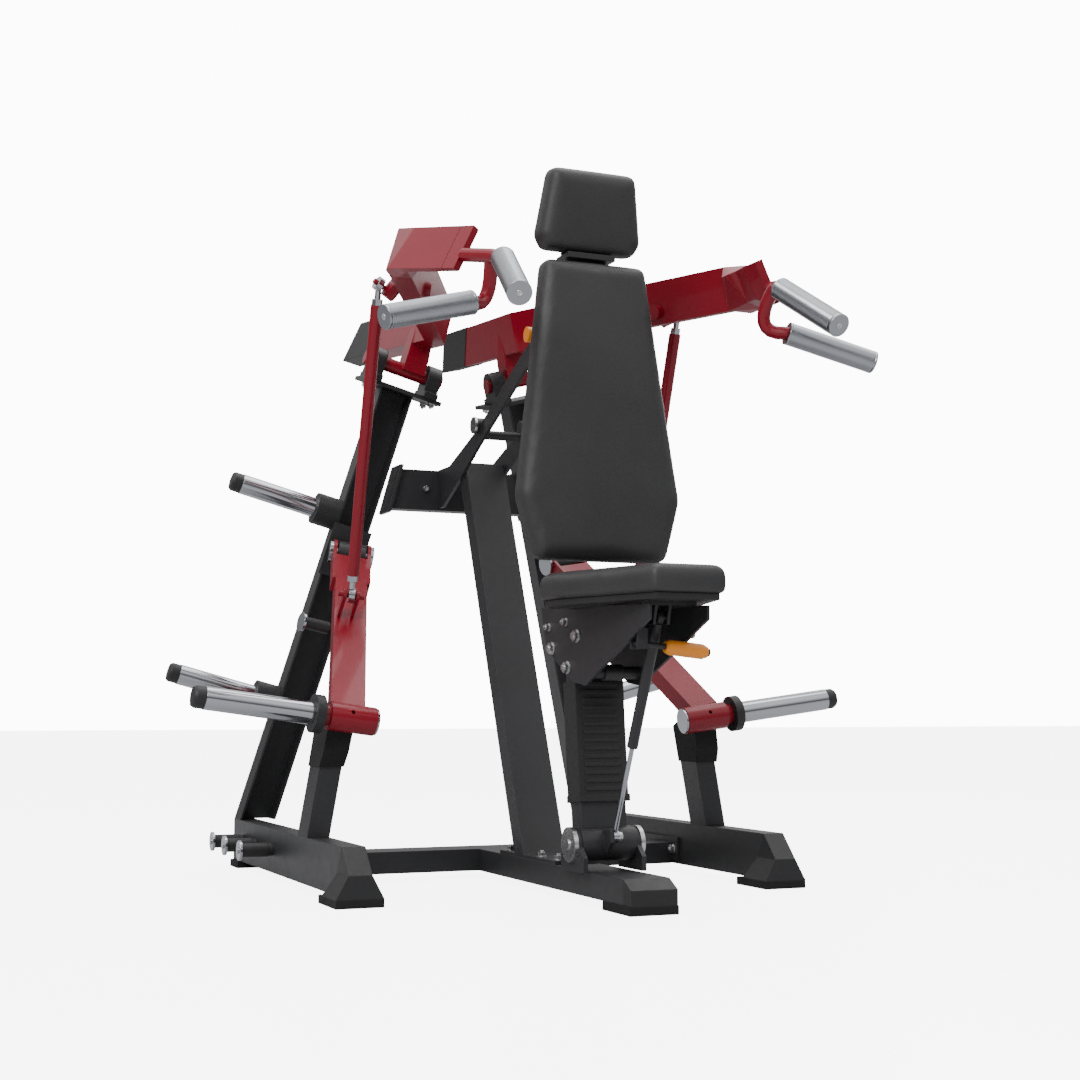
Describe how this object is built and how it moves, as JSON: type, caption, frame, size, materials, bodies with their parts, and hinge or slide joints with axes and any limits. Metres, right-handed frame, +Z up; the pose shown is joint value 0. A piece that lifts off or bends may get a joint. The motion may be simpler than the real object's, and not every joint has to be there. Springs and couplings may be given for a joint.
{
  "type": "chest press machine",
  "caption": "Plate-loaded press machine: two pivoting red arms linked by push rods to weight levers, padded back, head and seat cushions, plate storage horns, black frame on rubber feet",
  "frame": {"origin": "on the floor, at the middle of the machine's footprint", "axes": "+Z up, -Y the front where the sitter faces out, X across the machine from side to side"},
  "size_m": [1.5556, 1.7522, 1.546],
  "materials": {
    "frame_paint": "matt powder coat",
    "red_paint": "gloss",
    "chrome": "polished",
    "zinc_steel": "satin",
    "cast_iron": "painted satin",
    "black_plastic": "matt",
    "orange_plastic": "satin",
    "rubber": "matt",
    "upholstery": "fine grain"
  },
  "bodies": {
    "frame": {"rail_left": "frame_paint", "rail_right": "frame_paint", "upright_left": "frame_paint", "upright_right": "frame_paint", "front_posts": "frame_paint", "bumpers": "rubber", "end_caps": "black_plastic", "rubber_feet": "rubber", "lower_crossmember": "frame_paint", "centre_beam": "frame_paint", "centre_column": "frame_paint", "upper_crossmember": "frame_paint", "bearing_plates": "frame_paint", "pillow_blocks": "cast_iron", "backrest_plates": "frame_paint", "back_spine": "frame_paint", "back_pad": "upholstery", "head_pad": "upholstery", "neck_bracket": "frame_paint", "storage_sleeves": "chrome", "storage_collars": "black_plastic", "storage_caps": "black_plastic", "peg_rollers": "black_plastic", "peg_discs": "chrome", "frame_bolts": "zinc_steel", "seat_bracket": "frame_paint", "seat_column": "frame_paint", "column_cover": "black_plastic", "lever_hubs": "frame_paint"},
    "seat": {"seat_carriage": "frame_paint", "seat_board": "black_plastic", "seat_pad": "upholstery", "seat_bolts": "zinc_steel"},
    "gas_rod_body": {"gas_rod": "chrome"},
    "gas_cylinder_body": {"gas_cylinder": "frame_paint"},
    "release": {"release_lever": "frame_paint", "release_grip": "orange_plastic"},
    "knob": {"back_knob": "orange_plastic"},
    "press_arm_left": {"arm_left": "red_paint", "arm_cap_left": "black_plastic", "handle_left": "red_paint", "grips_left": "chrome"},
    "rod_left": {"push_rod_left": "red_paint", "rod_ends_left": "chrome"},
    "weight_lever_left": {"lever_left": "red_paint", "lever_sleeve_left": "chrome", "lever_blacks_left": "black_plastic", "lever_caps_left": "chrome"},
    "press_arm_right": {"arm_right": "red_paint", "arm_cap_right": "black_plastic", "handle_right": "red_paint", "grips_right": "chrome"},
    "rod_right": {"push_rod_right": "red_paint", "rod_ends_right": "chrome"},
    "weight_lever_right": {"lever_right": "red_paint", "lever_sleeve_right": "chrome", "lever_blacks_right": "black_plastic", "lever_caps_right": "chrome"}
  },
  "joints": [
    {"name": "press_right", "type": "hinge", "parent": "frame", "child": "press_arm_right", "pos_m": [0.18, 0.36377, 1.25], "axis": [-0.9648, 0, -0.263], "range_deg": [0, 30]},
    {"name": "lever_swing_right", "type": "hinge", "parent": "frame", "child": "weight_lever_right", "pos_m": [0.292, 0.38877, 0.775], "axis": [-0.9723, -0.1701, -0.1601], "range_deg": [0, 39.2]},
    {"name": "rod_swing_right", "type": "hinge", "parent": "press_arm_right", "child": "rod_right", "pos_m": [0.374, -0.10923, 1.335], "axis": [0.8595, -0.2169, 0.4629], "range_deg": [0, 24.4]},
    {"name": "press_left", "type": "hinge", "parent": "frame", "child": "press_arm_left", "pos_m": [-0.18, 0.36377, 1.25], "axis": [-0.9648, 0, 0.263], "range_deg": [0, 30]},
    {"name": "lever_swing_left", "type": "hinge", "parent": "frame", "child": "weight_lever_left", "pos_m": [-0.292, 0.38877, 0.775], "axis": [-0.9723, 0.1701, 0.1601], "range_deg": [0, 39.2]},
    {"name": "rod_swing_left", "type": "hinge", "parent": "press_arm_left", "child": "rod_left", "pos_m": [-0.374, -0.10923, 1.335], "axis": [0.8595, 0.2169, -0.4629], "range_deg": [0, 24.4]},
    {"name": "seat_height", "type": "slide", "parent": "frame", "child": "seat", "axis": [0, 0.0958, 0.9954], "range_m": [-0.115, 0]},
    {"name": "gas_swing", "type": "hinge", "parent": "frame", "child": "gas_rod_body", "pos_m": [0, -0.53323, 0.137], "axis": [1, 0, 0], "range_deg": [0, 8.7]},
    {"name": "gas_stroke", "type": "slide", "parent": "gas_rod_body", "child": "gas_cylinder_body", "axis": [0, 0.4278, -0.9039], "range_m": [0, 0.0955]},
    {"name": "release_tilt", "type": "hinge", "parent": "seat", "child": "release", "pos_m": [-0.046, -0.74723, 0.517], "axis": [0, 1, 0], "range_deg": [0, 10], "stiffness_Nm_per_rad": 3, "springref_deg": -8.59},
    {"name": "knob_pull", "type": "slide", "parent": "frame", "child": "knob", "axis": [-1, 0, 0], "range_m": [0, 0.012], "stiffness_N_per_m": 800}
  ],
  "couplings": [
    {"joint": "lever_swing_right", "follows": "press_right", "ratio": 1.2974},
    {"joint": "rod_swing_right", "follows": "press_right", "ratio": 0.8063},
    {"joint": "lever_swing_left", "follows": "press_left", "ratio": 1.2974},
    {"joint": "rod_swing_left", "follows": "press_left", "ratio": 0.8063},
    {"joint": "gas_swing", "follows": "seat_height", "rad_per_m": -1.291},
    {"joint": "gas_stroke", "follows": "seat_height", "ratio": -0.826}
  ]
}
